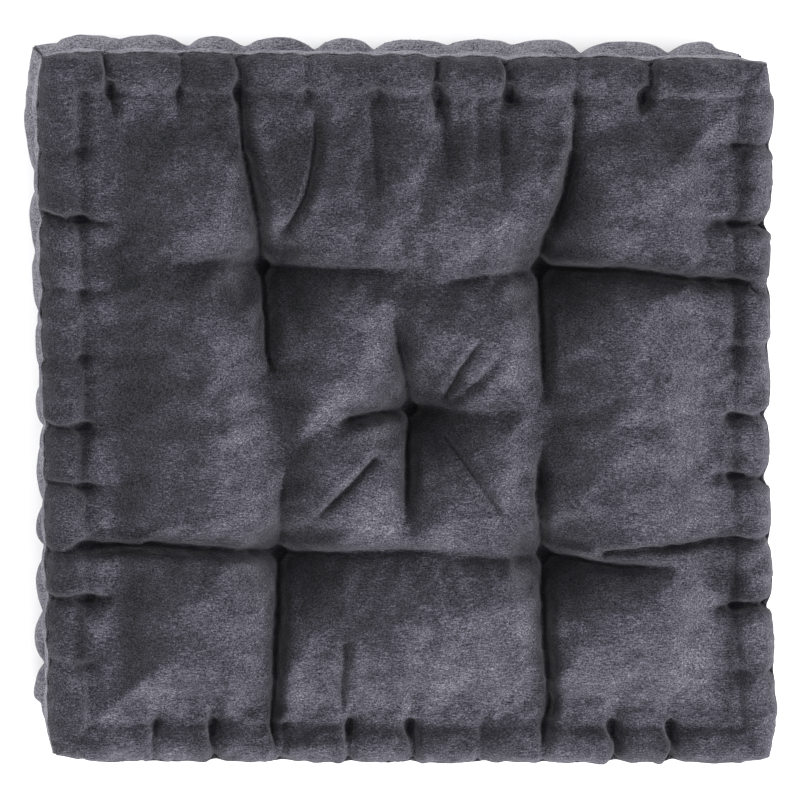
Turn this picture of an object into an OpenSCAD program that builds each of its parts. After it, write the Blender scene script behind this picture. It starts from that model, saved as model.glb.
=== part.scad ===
// Square tufted floor cushion with a hand-stitched rolled edge.
// The origin is the middle of the underside, +Z is up and +Y is the back.

/* [Cushion] */
// Width and depth from seam to seam
side = 508; // [460:4:560]
// Height of the crown above the floor
height = 127; // [121:1:135]
// How much the underside is flattened by the cushion's own weight
settle = 9; // [6:0.5:11]
// Thickness of the chenille cover
cloth_t = 1.2; // [0.8:0.1:1.6]

/* [Tufts] */
// Distance of the outer tufts from the middle, along each side
tuft_u = 96; // [80:2:110]
// Depth of a tuft below the crown
tuft_depth = 48; // [36:1:50]
// Depth of the furrows that run from tuft to tuft
furrow_depth = 17; // [10:1:20]
// Depth of the short furrows round the middle tuft
cross_depth = 14; // [8:1:18]
// Diameter of the tufting twine
twine_d = 2.4; // [1.6:0.2:3]

/* [Rolled edge] */
// Distance of the stitched groove inside the seam
roll_w = 27; // [24:1:30]
// Drop from the crown to the stitched groove
groove_drop = 23; // [20:1:26]
// Height of the roll above the stitched groove
roll_h = 14.5; // [12:0.5:16]
// How far each stitch pulls the seam in
pull = 5; // [3:0.5:6]
// Height of the roll above the groove where a stitch holds it down
held_h = 6; // [4:0.5:8]
// Thickness of the roll's thread
thread_t = 1.4; // [1:0.1:1.8]

/* [Hidden] */

chenille = [0.29, 0.285, 0.315];
chenille_pale = [0.36, 0.355, 0.385];
thread_grey = [0.2, 0.2, 0.225];
twine_grey = [0.16, 0.16, 0.18];
fibre_white = [0.93, 0.92, 0.9];

// The cover is laid out on a grid whose lines run through the tufts and the stitched groove.
tuft_steps = 4;                        // grid steps from the middle to a tuft
field_steps = 10;                      // grid steps from the middle to the groove
roll_steps = 4;                        // grid steps from the groove to the seam
last = field_steps + roll_steps;
stitch_u = side / 2 - roll_w;          // middle to groove
shoulder_u = stitch_u / 2;             // where the crown starts to fall
tuft_spread = 26;                      // radius of a tuft's hollow
furrow_spread = 14;                    // half width of a furrow
cross_reach = 60;                      // how far the middle furrows run
corner_round = 0.5;                    // 0 is a square corner, 1 a round one
corner_pinch = 0.4;                    // share of a stitch's pull felt at a corner
arch = 176;                            // degrees of the roll's arch, groove to seam
clear = 0.3;                           // between the cover and its fill
slack = 2.8;                           // between the cover and the fill of the roll
parting = 1.7;                         // half the gap that the stitches make in the fill
seam_gap = 1.4;                        // between a panel's edge and its band
groove_k = 4;                          // point of the band's profile at its stitched groove
waist = 2;                             // half height of the core's edge wall

// Half of a side band's profile, from its seam to the middle: [stands out, below the seam, pulled in]
band_half = [[0, 0, 5], [0.6, 4, 5], [-0.6, 9, 5], [-4, 15, 4], [-9, 20, 3], [-8.5, 27, 3], [-4, 45, 0]];
band_half_n = len(band_half);
band_n = 2 * band_half_n - 1;

function over(i) = max(abs(i) - field_steps, 0);
function line_at(i) = let (n = min(abs(i), field_steps)) sign(i) * (n <= tuft_steps
    ? tuft_u * n / tuft_steps
    : tuft_u + (stitch_u - tuft_u) * (n - tuft_steps) / (field_steps - tuft_steps));
function base(i, j) = [line_at(i), line_at(j)];

// Which way the roll faces at a grid point, a little rounded at the corners
function facing(i, j) = let (v = [sign(i) * over(i), sign(j) * over(j)] / max(over(i), over(j)))
    v * (1 - corner_round) + v / norm(v) * corner_round;

// Every second grid line is stitched down: 1 at a stitch and 0 between two
function pinch(i, j) = over(i) > 0 && over(j) > 0 ? corner_pinch
    : 1 - (over(i) > 0 ? abs(j) : abs(i)) % 2;

// The crowned field, hollowed by tufts, furrows and the fall towards the groove
function bell(d, w) = exp(-(d / w) * (d / w));
tufts = [[0, 0], [-tuft_u, -tuft_u], [tuft_u, -tuft_u], [-tuft_u, tuft_u], [tuft_u, tuft_u]];
function sunk(x, y) = max([
    groove_drop * pow(max(max(abs(x), abs(y)) - shoulder_u, 0) / (stitch_u - shoulder_u), 2.2),
    for (t = tufts) tuft_depth * bell(norm([x, y] - t), tuft_spread),
    furrow_depth * bell(abs(x) - tuft_u, furrow_spread),
    furrow_depth * bell(abs(y) - tuft_u, furrow_spread),
    cross_depth * bell(x, furrow_spread) * bell(y, cross_reach),
    cross_depth * bell(y, furrow_spread) * bell(x, cross_reach)
]);

// The roll's arch and its slope, t from 0 at the groove to 1 at the seam, p the pinch
function arch_h(p) = roll_h + (held_h - roll_h) * p;
function rise(t, p) = arch_h(p) * sin(arch * t);
function slope(t, p) = arch_h(p) * arch * PI / 180 * cos(arch * t) / roll_w;
groove_z = height - groove_drop;
function seam_z(p) = groove_z + rise(1, p);

// A point of the top cover's surface, depth below it
function field_point(i, j, depth) = let (b = base(i, j)) [b.x, b.y, height - sunk(b.x, b.y) - depth];
function roll_point(i, j, t, depth) = let (
    p = pinch(i, j), s = slope(t, p), n = [-s, 1] / norm([-s, 1]),
    out = (roll_w - pull * p) * t - n.x * depth,
    b = base(i, j) + facing(i, j) * out
) [b.x, b.y, groove_z + rise(t, p) - n.y * depth];
function top_point(i, j, depth) = over(i) + over(j) == 0 ? field_point(i, j, depth)
    : roll_point(i, j, max(over(i), over(j)) / roll_steps, depth);

// The underside mirrors the top and is pressed flat where it lies on the floor
function underneath(v, depth) = [v.x, v.y, max(height - v.z - settle, depth)];
function bottom_point(i, j, depth) = underneath(top_point(i, j, depth), depth);

// A point of a side band, k counted down its profile
function band_z(k, p) = k == 0 ? seam_z(p) - seam_gap
    : k < band_half_n ? seam_z(0) - band_half[k][1]
    : k < band_n - 1 ? height - settle - seam_z(0) + band_half[band_n - 1 - k][1]
    : height - settle - seam_z(p) + seam_gap;
function band_out(k, p) = let (h = band_half[min(k, band_n - 1 - k)]) roll_w + h[0] - h[2] * p;
function band_point(i, j, k, depth) = let (
    p = pinch(i, j), b = base(i, j) + facing(i, j) * (band_out(k, p) - depth)
) [b.x, b.y, band_z(k, p)];

// The grid points round the outline, as four sides that run anticlockwise from the front
function on_side(s, n) = s == 0 ? [n, -last] : s == 1 ? [last, n] : s == 2 ? [-n, last] : [-last, -n];
outline = [for (s = [0:3]) for (n = [-last:last - 1]) on_side(s, n)];
stitched = [for (n = [-field_steps + 2:2:field_steps]) n];

// A closed skin over rings of points. The rings join up end to end, or end in caps that fold flat.
// A ring's second half is split along the same diagonals as the first half that it lies under.
module skin(rings, closed = false) {
    m = len(rings);
    n = len(rings[0]);
    polyhedron(
        points = [for (r = rings) for (q = r) q],
        faces = [
            for (a = [0:m - (closed ? 1 : 2)]) for (b = [0:n - 1])
                let (c = (a + 1) % m, d = (b + 1) % n, v = [a * n + b, a * n + d, c * n + d, c * n + b])
                each b < n / 2 ? [[v[0], v[1], v[2]], [v[0], v[2], v[3]]]
                               : [[v[0], v[1], v[3]], [v[1], v[2], v[3]]],
            if (!closed) for (e = [0, m - 1]) for (b = [0:n / 2 - 2])
                let (v = [e * n + b, e * n + b + 1, e * n + n - 2 - b, e * n + n - 1 - b])
                each e == 0 ? [[v[2], v[1], v[0]], [v[3], v[2], v[0]]]
                            : [[v[0], v[1], v[2]], [v[0], v[2], v[3]]]
        ],
        convexity = 8
    );
}

function turned(r) = [for (q = [len(r) - 1:-1:0]) r[q]];

module tuft_holes(d) {
    for (t = tufts) translate([t.x, t.y, -1]) cylinder(h = height + 2, d = d, $fn = 32);
}

// One stitch of the roll: a flat loop of thread from the panel's groove to the band's groove
stitch_w = 7;                          // outer width of a loop
stitch_ends = thread_t + 1.8;          // how far a loop stands past each groove
needle_d = thread_t * 1.6;             // hole that the needle leaves
function at_corner(n) = abs(n) == field_steps;
// From the panel's groove to the band's: [outwards, downwards]
function stitch_reach(n) = let (p = at_corner(n) ? corner_pinch : 1)
    [band_out(groove_k, p) * (at_corner(n) ? norm(facing(last, last)) : 1), groove_z - band_z(groove_k, p)];

module stitch_place(s, n) {
    b = base(on_side(s, n).x, on_side(s, n).y);
    r = stitch_reach(n);
    translate([b.x, b.y, groove_z])
        rotate([0, 0, s * 90 - 90 + (at_corner(n) ? 45 : 0)])
            rotate([0, atan2(r.y, r.x), 0])
                children();
}

module stitch_loop(n) {
    loop = norm(stitch_reach(n)) + 2 * stitch_ends;
    translate([-stitch_ends, -stitch_w / 2, -thread_t / 2])
        linear_extrude(thread_t) difference() {
            square([loop, stitch_w]);
            translate([thread_t, thread_t]) square([loop - 2 * thread_t, stitch_w - 2 * thread_t]);
        }
}

// The two needle holes that a stitch passes through in each layer
module needle_holes(n) {
    for (y = [-1, 1]) translate([-stitch_w, y * (stitch_w - thread_t) / 2, 0])
        rotate([0, 90, 0]) cylinder(h = norm(stitch_reach(n)) + 2 * stitch_w, d = needle_d, $fn = 24);
}

module all_needle_holes(s) {
    for (n = stitched) stitch_place(s, n) needle_holes(n);
}

module upside_down() {
    translate([0, 0, height - settle]) mirror([0, 0, 1]) children();
}

module top_panel() {
    color(chenille) difference() {
        skin([for (i = [-last:last]) concat(
            [for (j = [-last:last]) top_point(i, j, 0)],
            [for (j = [last:-1:-last]) top_point(i, j, cloth_t)])]);
        tuft_holes(twine_d + clear);
        for (s = [0:3]) all_needle_holes(s);
    }
}

module bottom_panel() {
    color(chenille) difference() {
        skin([for (i = [-last:last]) concat(
            [for (j = [-last:last]) bottom_point(i, j, cloth_t)],
            [for (j = [last:-1:-last]) bottom_point(i, j, 0)])]);
        tuft_holes(twine_d + clear);
        upside_down() for (s = [0:3]) all_needle_holes(s);
    }
}

module side_band(s) {
    color(chenille_pale) difference() {
        skin([for (n = [-last:last]) let (v = on_side(s, n)) concat(
            [for (k = [0:band_n - 1]) band_point(v.x, v.y, k, cloth_t)],
            [for (k = [band_n - 1:-1:0]) band_point(v.x, v.y, k, 0)])]);
        for (t = [s, (s + 3) % 4]) {
            all_needle_holes(t);
            upside_down() all_needle_holes(t);
        }
    }
}

module side_band_front() { side_band(0); }
module side_band_right() { side_band(1); }
module side_band_back() { side_band(2); }
module side_band_left() { side_band(3); }

// Machine thread inside the seam, square in section
seam_t = 0.8;                          // thickness of the seam's thread
seam_in = 2.1;                         // how far inside the seam it runs
seam_down = 1.6;                       // how far below the seam
function seam_ring(i, j) = let (
    p = pinch(i, j), out = roll_w - pull * p - seam_in, z = seam_z(p) - seam_down,
    b = base(i, j), f = facing(i, j)
) [for (c = [[0, 0], [0, seam_t], [seam_t, seam_t], [seam_t, 0]])
    [b.x + f.x * (out + c.x), b.y + f.y * (out + c.x), z - c.y]];

module seam_thread_top() {
    color(thread_grey) skin([for (v = outline) seam_ring(v.x, v.y)], true);
}
module seam_thread_bottom() { color(thread_grey) upside_down() seam_thread_top(); }

// Thread inside the four upright seams, where two bands meet
module corner_seam_thread(s) {
    v = on_side(s, last);
    f = facing(v.x, v.y);
    g = [-f.y, f.x] / norm(f) * seam_t / 2;
    skin([for (k = [1:band_n - 2]) let (
        a = band_point(v.x, v.y, k, cloth_t + clear), b = band_point(v.x, v.y, k, cloth_t + clear + seam_t)
    ) [[b.x - g.x, b.y - g.y, a.z], [a.x - g.x, a.y - g.y, a.z],
       [a.x + g.x, a.y + g.y, a.z], [b.x + g.x, b.y + g.y, a.z]]]);
}
module corner_seam_threads() {
    color(thread_grey) for (s = [0:3]) corner_seam_thread(s);
}

// The gap that the fill went in by, closed by hand in the middle of the back's bottom seam
closing_n = 24;                        // stitches in the closing
closing_pitch = 7;                     // from stitch to stitch
closing_len = 4;                       // length of one stitch
grid_pitch = tuft_u / tuft_steps;
module closing_stitches() {
    color(thread_grey)
        for (n = [0:closing_n - 1]) let (
            x = (n - (closing_n - 1) / 2) * closing_pitch,
            p = abs(1 - (abs(x) / grid_pitch) % 2)
        ) translate([x, side / 2 - pull * p + seam_t + 0.1, height - settle - seam_z(p) + seam_gap / 2])
            rotate([0, 90, 0])
                cylinder(h = closing_len, d = seam_t, center = true, $fn = 16);
}

module roll_stitches(s) {
    color(thread_grey) for (n = stitched) stitch_place(s, n) stitch_loop(n);
}
module roll_stitches_top_front() { roll_stitches(0); }
module roll_stitches_top_right() { roll_stitches(1); }
module roll_stitches_top_back() { roll_stitches(2); }
module roll_stitches_top_left() { roll_stitches(3); }
module roll_stitches_bottom_front() { upside_down() roll_stitches(0); }
module roll_stitches_bottom_right() { upside_down() roll_stitches(1); }
module roll_stitches_bottom_back() { upside_down() roll_stitches(2); }
module roll_stitches_bottom_left() { upside_down() roll_stitches(3); }

// The main fill, between the two panels and inside the stitches
edge_rings = band_half_n - groove_k;   // rings of the core's edge, from the band's groove to its middle
core_last = field_steps + edge_rings;
lining = cloth_t + clear;
// Room that the fill leaves for the thread in an upright seam
function seam_room(i, j) = over(i) == over(j) ? seam_t + 2 * clear : 0;
function core_side(i, j, ring) = let (
    k = groove_k + ring - 1,
    back = lining + clear + seam_room(i, j) + (ring == 1 ? parting : ring == edge_rings ? waist / 2 : 0),
    b = base(i, j) + facing(i, j) * (band_out(k, 1) - back)
) [b.x, b.y, band_z(k, 1) + (ring == 1 ? -parting : ring == edge_rings ? waist : 0)];
function core_top(i, j) = over(i) + over(j) > 0 ? core_side(i, j, max(over(i), over(j)))
    : let (q = field_point(i, j, lining))
        [for (a = [0, 1]) sign(q[a]) * min(abs(q[a]), stitch_u - parting), q.z];
function core_bottom(i, j) = let (q = core_top(i, j))
    max(over(i), over(j)) == edge_rings ? [q.x, q.y, q.z - 2 * waist] : underneath(q, lining);

module fill_core() {
    color(fibre_white) difference() {
        skin([for (i = [-core_last:core_last]) concat(
            [for (j = [-core_last:core_last]) core_top(i, j)],
            [for (j = [core_last:-1:-core_last]) core_bottom(i, j)])]);
        tuft_holes(twine_d + 2 * clear);
    }
}

// The fill that the stitches part off into the roll, pierced by the stitch at each corner
module roll_fill(under) {
    difference() {
        roll_wadding(under);
        for (s = [0:3])
            if (under) upside_down() stitch_place(s, field_steps) needle_holes(field_steps);
            else stitch_place(s, field_steps) needle_holes(field_steps);
    }
}
module roll_wadding(under) {
    skin([for (v = outline) let (
        p = pinch(v.x, v.y),
        b = base(v.x, v.y), f = facing(v.x, v.y),
        inset = cloth_t + slack,
        back = inset + seam_room(v.x, v.y),
        q = concat(
            [[2 * parting, groove_z - 0.4]],
            [for (t = [0.25, 0.5, 0.7, 0.8]) let (w = roll_point(v.x, v.y, t, inset))
                [norm([w.x, w.y] - b) / norm(f), w.z]],
            [for (k = [1:3]) [band_out(k, p) - back, band_z(k, p)]],
            [[band_out(groove_k, p) - inset, band_z(groove_k, p) + 4 * parting]])
    ) [for (w = under ? q : turned(q))
        [b.x + f.x * w.x, b.y + f.y * w.x,
         under ? max(height - settle - w.y, cloth_t + slack) : w.y]]], true);
}
module roll_fill_top() { color(fibre_white) roll_fill(false); }
module roll_fill_bottom() { color(fibre_white) roll_fill(true); }

// Twine through the cushion, with a stopper knot in the hollow at each end
knot_d = 6;                            // diameter of a stopper knot
knot_lift = 6;                         // knot's middle from the bottom of its hollow
module tuft_tie(x, y) {
    top_z = height - sunk(x, y) + knot_lift;
    low_z = sunk(x, y) - settle - knot_lift;
    color(twine_grey) translate([x, y, 0]) {
        translate([0, 0, low_z]) cylinder(h = top_z - low_z, d = twine_d, $fn = 32);
        translate([0, 0, top_z]) sphere(d = knot_d, $fn = 32);
        translate([0, 0, low_z]) sphere(d = knot_d, $fn = 32);
    }
}
module tuft_tie_middle() { tuft_tie(0, 0); }
module tuft_tie_front_left() { tuft_tie(-tuft_u, -tuft_u); }
module tuft_tie_front_right() { tuft_tie(tuft_u, -tuft_u); }
module tuft_tie_back_left() { tuft_tie(-tuft_u, tuft_u); }
module tuft_tie_back_right() { tuft_tie(tuft_u, tuft_u); }

top_panel();
bottom_panel();
side_band_front();
side_band_right();
side_band_back();
side_band_left();
seam_thread_top();
seam_thread_bottom();
corner_seam_threads();
closing_stitches();
roll_stitches_top_front();
roll_stitches_top_right();
roll_stitches_top_back();
roll_stitches_top_left();
roll_stitches_bottom_front();
roll_stitches_bottom_right();
roll_stitches_bottom_back();
roll_stitches_bottom_left();
fill_core();
roll_fill_top();
roll_fill_bottom();
tuft_tie_middle();
tuft_tie_front_left();
tuft_tie_front_right();
tuft_tie_back_left();
tuft_tie_back_right();
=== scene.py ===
import bpy, bmesh, math, random
from mathutils import Matrix, Vector, noise
from mathutils.bvhtree import BVHTree


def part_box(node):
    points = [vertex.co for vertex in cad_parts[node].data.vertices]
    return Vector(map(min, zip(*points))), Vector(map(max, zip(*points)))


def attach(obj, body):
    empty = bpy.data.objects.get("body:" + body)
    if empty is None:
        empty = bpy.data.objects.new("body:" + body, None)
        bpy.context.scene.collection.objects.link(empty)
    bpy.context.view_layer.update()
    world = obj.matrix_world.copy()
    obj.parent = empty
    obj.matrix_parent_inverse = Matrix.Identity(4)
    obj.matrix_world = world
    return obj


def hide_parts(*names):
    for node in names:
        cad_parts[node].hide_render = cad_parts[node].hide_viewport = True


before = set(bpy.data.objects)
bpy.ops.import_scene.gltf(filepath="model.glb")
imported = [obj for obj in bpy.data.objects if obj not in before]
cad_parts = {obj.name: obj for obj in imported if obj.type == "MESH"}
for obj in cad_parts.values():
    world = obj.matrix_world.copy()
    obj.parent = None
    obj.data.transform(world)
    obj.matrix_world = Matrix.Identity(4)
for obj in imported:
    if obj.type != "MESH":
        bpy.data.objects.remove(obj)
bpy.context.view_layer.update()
random.seed(7)

# places that the frame gives
panelLow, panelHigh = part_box("top_panel")
halfSide = panelHigh.x                      # middle to seam
crownZ = panelHigh.z
tuftBoxes = {name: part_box("tuft_tie_" + name)
             for name in ("middle", "front_left", "front_right", "back_left", "back_right")}
tuftAt = {name: (low + high) / 2 for name, (low, high) in tuftBoxes.items()}

cover = {
    "fieldCells": 44, "bandCells": 30,
    "rollShares": (0.0, 0.14, 0.28, 0.42, 0.56, 0.70, 0.83, 0.94, 1.0),
    "rollWidth": 0.027,                 # groove to seam
    "grooveDrop": 0.023,                # crown to groove
    "grooveLift": 0.0065,               # the groove is shallower between two stitches
    "liftReach": 0.026,                 # how far into the field a stitch is felt
    "rollHeight": 0.0130, "heldHeight": 0.0085,
    "pull": {"front": 0.0035, "right": 0.0080, "back": 0.0025, "left": 0.0025},
    "lowerPull": 0.0130,
    "drawnIn": {"front": 0.0, "right": 0.0, "back": 0.0, "left": 0.0070},   # lower roll, half way along
    "puffPower": 0.45,                  # below 1 makes the puffs round and the valleys sharp
    "cornerRound": 0.5, "cornerPuff": 0.6,
    "settle": 0.009,                    # pressed flat underneath
    "clothThick": 0.0012,
    "tuftDepth": 0.040, "tuftWidth": 0.029,
    "crownFall": 2.6,
}

# stitches along each side of the roll, from the middle; the corners are stitched too
rollStitches = {
    "front": (-0.181, -0.141, -0.093, -0.047, -0.005, 0.045, 0.089, 0.136, 0.177),
    "right": (-0.186, -0.138, -0.091, -0.044, -0.000, 0.049, 0.095, 0.137, 0.193),
    "back": (-0.205, -0.159, -0.118, -0.070, -0.022, 0.019, 0.068, 0.114, 0.162),
    "left": (-0.183, -0.135, -0.097, -0.054, -0.011, 0.038, 0.085, 0.137, 0.185),
}
lowerStitches = {
    "front": (-0.190, -0.146, -0.101, -0.055, -0.012, 0.036, 0.079, 0.127, 0.172),
    "right": (-0.176, -0.132, -0.083, -0.038, 0.010, 0.053, 0.098, 0.145, 0.191),
    "back": (-0.187, -0.142, -0.101, -0.052, -0.011, 0.041, 0.086, 0.135, 0.197),
    "left": (-0.201, -0.163, -0.118, -0.082, -0.031, 0.009, 0.054, 0.101, 0.148),
}
outward = {"front": (0, -1), "right": (1, 0), "back": (0, 1), "left": (-1, 0)}
sideNames = tuple(outward)

# how far each corner of this hand-made cushion strays from a true square
cornerStray = {
    (-1, 1): (-0.0080, -0.0023),
    (1, 1): (-0.0020, -0.0104),
    (-1, -1): (0.0037, 0.0120),
    (1, -1): (0.0130, -0.0017),
}

grooveU = halfSide - cover["rollWidth"]
grooveZ = crownZ - cover["grooveDrop"]
rollCells = len(cover["rollShares"]) - 1
lastLine = cover["fieldCells"] + rollCells

# each tuft sits a little off its place, as a hand leaves it
tuftStray = {
    "middle": (0.0005, 0.0006),
    "front_left": (0.0036, -0.0080),
    "front_right": (-0.0026, -0.0078),
    "back_left": (-0.0049, 0.0057),
    "back_right": (-0.0038, 0.0055),
}
tufts = {name: Vector((at.x + tuftStray[name][0], at.y + tuftStray[name][1], 0))
         for name, at in tuftAt.items()}

# soft valleys that run between the tufts and out to the edge: path, depth, half width
valleys = [
    (((-0.101, 0.102), (-0.111, 0.152), (-0.117, 0.192), (-0.119, 0.228)), 0.01, 0.017),
    (((-0.101, 0.102), (-0.139, 0.106), (-0.169, 0.106), (-0.220, 0.108)), 0.009, 0.02),
    (((-0.101, 0.102), (-0.043, 0.104), (0.017, 0.095), (0.092, 0.102)), 0.01, 0.02),
    (((-0.101, 0.102), (-0.101, 0.045), (-0.101, 0.005), (-0.095, -0.046), (-0.092, -0.104)), 0.01, 0.018),
    (((0.092, 0.102), (0.104, 0.154), (0.111, 0.189), (0.116, 0.230)), 0.011, 0.018),
    (((0.092, 0.102), (0.147, 0.104), (0.205, 0.098), (0.240, 0.092)), 0.011, 0.018),
    (((0.092, 0.102), (0.090, 0.061), (0.090, 0.010), (0.088, -0.045), (0.093, -0.104)), 0.011, 0.019),
    (((-0.092, -0.104), (-0.135, -0.098), (-0.183, -0.094), (-0.239, -0.098)), 0.011, 0.018),
    (((-0.092, -0.104), (-0.052, -0.100), (0.015, -0.102), (0.093, -0.104)), 0.01, 0.019),
    (((-0.092, -0.104), (-0.099, -0.164), (-0.101, -0.224)), 0.012, 0.018),
    (((0.093, -0.104), (0.109, -0.105), (0.145, -0.108), (0.181, -0.109), (0.234, -0.096)), 0.009, 0.019),
    (((0.093, -0.104), (0.088, -0.149), (0.091, -0.223)), 0.012, 0.018),
    (((0.000, 0.001), (-0.012, 0.046), (-0.017, 0.073)), 0.007, 0.013),
    (((0.000, 0.001), (-0.037, -0.001), (-0.059, -0.006)), 0.008, 0.014),
    (((0.000, 0.001), (-0.006, -0.033), (-0.009, -0.078)), 0.009, 0.014),
    (((0.000, 0.001), (0.040, 0.002), (0.084, 0.003)), 0.006, 0.015),
]

# sharp creases of the top panel: path, depth, half width, and the side that stands proud
creases = [
    (((-0.101, 0.102), (-0.110, 0.152), (-0.116, 0.187), (-0.119, 0.225)), 0.0075, 0.0034, -1),
    (((-0.088, 0.134), (-0.076, 0.159), (-0.068, 0.194), (-0.066, 0.222)), 0.004, 0.003, -1),
    (((-0.101, 0.102), (-0.129, 0.108), (-0.169, 0.107)), 0.004, 0.0045, 1),
    (((-0.101, 0.102), (-0.043, 0.104), (-0.009, 0.102)), 0.004, 0.004, 1),
    (((-0.101, 0.102), (-0.102, 0.045), (-0.099, 0.030)), 0.007, 0.0036, 1),
    (((0.092, 0.102), (0.094, 0.125), (0.104, 0.154), (0.111, 0.189), (0.114, 0.227)), 0.008, 0.0036, 1),
    (((0.092, 0.102), (0.048, 0.099), (0.013, 0.094)), 0.004, 0.0036, 1),
    (((0.092, 0.102), (0.146, 0.105), (0.205, 0.098), (0.238, 0.096), (0.248, 0.086)), 0.0075, 0.0034, 1),
    (((0.092, 0.102), (0.090, 0.061), (0.090, 0.010)), 0.008, 0.0036, 1),
    (((0.000, 0.001), (-0.005, 0.021), (-0.012, 0.046), (-0.017, 0.073)), 0.0060, 0.0030, 1),
    (((0.021, 0.014), (0.029, 0.035), (0.044, 0.057)), 0.003, 0.0026, 1),
    (((0.026, 0.010), (0.042, 0.026), (0.062, 0.050)), 0.0024, 0.0026, -1),
    (((0.000, 0.001), (-0.037, -0.001), (-0.058, -0.006)), 0.0065, 0.0034, 1),
    (((0.000, 0.001), (-0.006, -0.033), (-0.009, -0.076)), 0.0075, 0.0034, 1),
    (((-0.031, -0.030), (-0.052, -0.052), (-0.073, -0.074)), 0.0036, 0.0026, -1),
    (((0.019, -0.015), (0.046, -0.054), (0.056, -0.069)), 0.0036, 0.0026, 1),
    (((0.000, 0.001), (0.040, 0.002), (0.085, 0.003)), 0.0025, 0.004, 1),
    (((-0.092, -0.104), (-0.095, -0.063), (-0.091, -0.034)), 0.0035, 0.0036, 1),
    (((-0.092, -0.104), (-0.135, -0.098), (-0.183, -0.094), (-0.223, -0.097),
      (-0.243, -0.098)), 0.0075, 0.0034, 1),
    (((-0.092, -0.104), (-0.052, -0.100), (-0.011, -0.098), (0.039, -0.099)), 0.0045, 0.0036, 1),
    (((-0.092, -0.104), (-0.099, -0.164), (-0.101, -0.224), (-0.099, -0.250)), 0.008, 0.0034, 1),
    (((-0.054, -0.164), (-0.053, -0.223)), 0.0034, 0.003, 1),
    (((0.093, -0.104), (0.086, -0.061), (0.088, -0.018)), 0.008, 0.0034, 1),
    (((0.093, -0.104), (0.109, -0.105), (0.145, -0.108), (0.181, -0.109)), 0.0065, 0.0032, 1),
    (((0.131, -0.098), (0.175, -0.094), (0.219, -0.089), (0.247, -0.090)), 0.0055, 0.0028, 1),
    (((0.093, -0.104), (0.088, -0.149), (0.091, -0.208), (0.084, -0.249)), 0.008, 0.0034, 1),
    (((0.093, -0.104), (0.018, -0.102)), 0.0035, 0.0036, 1),
    (((-0.027, 0.223), (-0.028, 0.157)), 0.0032, 0.007, 1),
    (((0.021, 0.223), (0.022, 0.163)), 0.0030, 0.0075, 1),
    (((0.046, 0.222), (0.043, 0.168)), 0.0022, 0.006, 1),
    (((0.062, 0.224), (0.059, 0.158)), 0.0032, 0.007, -1),
]


def lineAt(k):
    # grid lines are even over the field; the roll's own lines are placed by its profile
    return math.copysign(min(abs(k), cover["fieldCells"]) * grooveU / cover["fieldCells"], k)


def over(k):
    return max(abs(k) - cover["fieldCells"], 0)


def holdOf(along):
    # some stitches were pulled tighter than others
    return min(max(0.72 + 0.9 * noise.noise(Vector((along * 61, 4.3, 1.7))), 0.3), 1.0)


def puffAt(stitches, along):
    # 0 where a stitch holds the roll down and 1 between two stitches
    places = (-grooveU - 0.020,) + tuple(stitches) + (grooveU + 0.020,)
    for n, (a, b) in enumerate(zip(places, places[1:])):
        if a <= along <= b:
            f = (along - a) / (b - a)
            if (n == 0 and f < 0.5) or (n == len(places) - 2 and f > 0.5):
                return 1 - (1 - cover["cornerPuff"]) * min(abs(f - 0.5) * 3, 1)
            hold = holdOf(a) * (1 - f) + holdOf(b) * f
            return 1 - hold * (1 - math.sin(math.pi * f) ** cover["puffPower"])
    return cover["cornerPuff"]


def sideOf(x, y):
    if abs(x) >= abs(y):
        return "right" if x > 0 else "left"
    return "back" if y > 0 else "front"


def facing(i, j):
    # which way the roll faces, rounded at the corners
    v = Vector((math.copysign(over(i), i), math.copysign(over(j), j), 0)) / max(over(i), over(j))
    return v * (1 - cover["cornerRound"]) + v.normalized() * cover["cornerRound"]


def puffOf(i, j, stitches):
    if over(i) and over(j):
        return cover["cornerPuff"]
    side = sideOf(i, j)
    return puffAt(stitches[side], lineAt(j) if side in ("right", "left") else lineAt(i))


def easeIn(t):
    t = max(0.0, min(1.0, t))
    return t * t * (3 - 2 * t)


def strayed(p):
    # moves a point with the cushion's four corners
    a, b = p.x / halfSide, p.y / halfSide
    moved = Vector(p)
    for (sx, sy), (dx, dy) in cornerStray.items():
        share = (1 + sx * a) / 2 * (1 + sy * b) / 2
        moved.x += dx * share
        moved.y += dy * share
    moved.x -= 0.006 * max(a, 0) * max(1 - b * b, 0)
    return moved


def strayedPath(path):
    return tuple(tuple(strayed(Vector((x, y, 0))).xy) for x, y in path)


def nearest(x, y, path):
    # distance to a path, which side of it, and how far along it from 0 to 1
    best, side, at = 1e9, 1, 0
    for n in range(len(path) - 1):
        ax, ay = path[n]
        bx, by = path[n + 1]
        dx, dy = bx - ax, by - ay
        t = max(0.0, min(1.0, ((x - ax) * dx + (y - ay) * dy) / (dx * dx + dy * dy)))
        ex, ey = x - ax - dx * t, y - ay - dy * t
        d = math.hypot(ex, ey)
        if d < best:
            best, side, at = d, (1 if dx * ey - dy * ex > 0 else -1), (n + t) / (len(path) - 1)
    return best, side, at


def bell(d, w):
    return math.exp(-(d / w) ** 2)


def gapTo(x, y, places):
    return min(math.hypot(x - at.x, y - at.y) for at in places)


def sunkAt(x, y):
    # how far the field lies below the crown
    u = max(abs(x), abs(y))
    rim = cover["grooveDrop"] * max((u - grooveU / 2) / (grooveU / 2), 0) ** cover["crownFall"]
    gap = gapTo(x, y, tufts.values())
    pit = cover["tuftDepth"] * (0.62 * bell(gap, cover["tuftWidth"]) + 0.38 * math.exp(-gap / 0.013))
    dip = 0.0
    for path, depth, width in valleys:
        d, side, t = nearest(x, y, path)
        if d < width * 3:
            dip = max(dip, depth * bell(d, width) * (1 - 0.35 * t))
    return max(rim, math.hypot(pit, dip))


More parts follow.
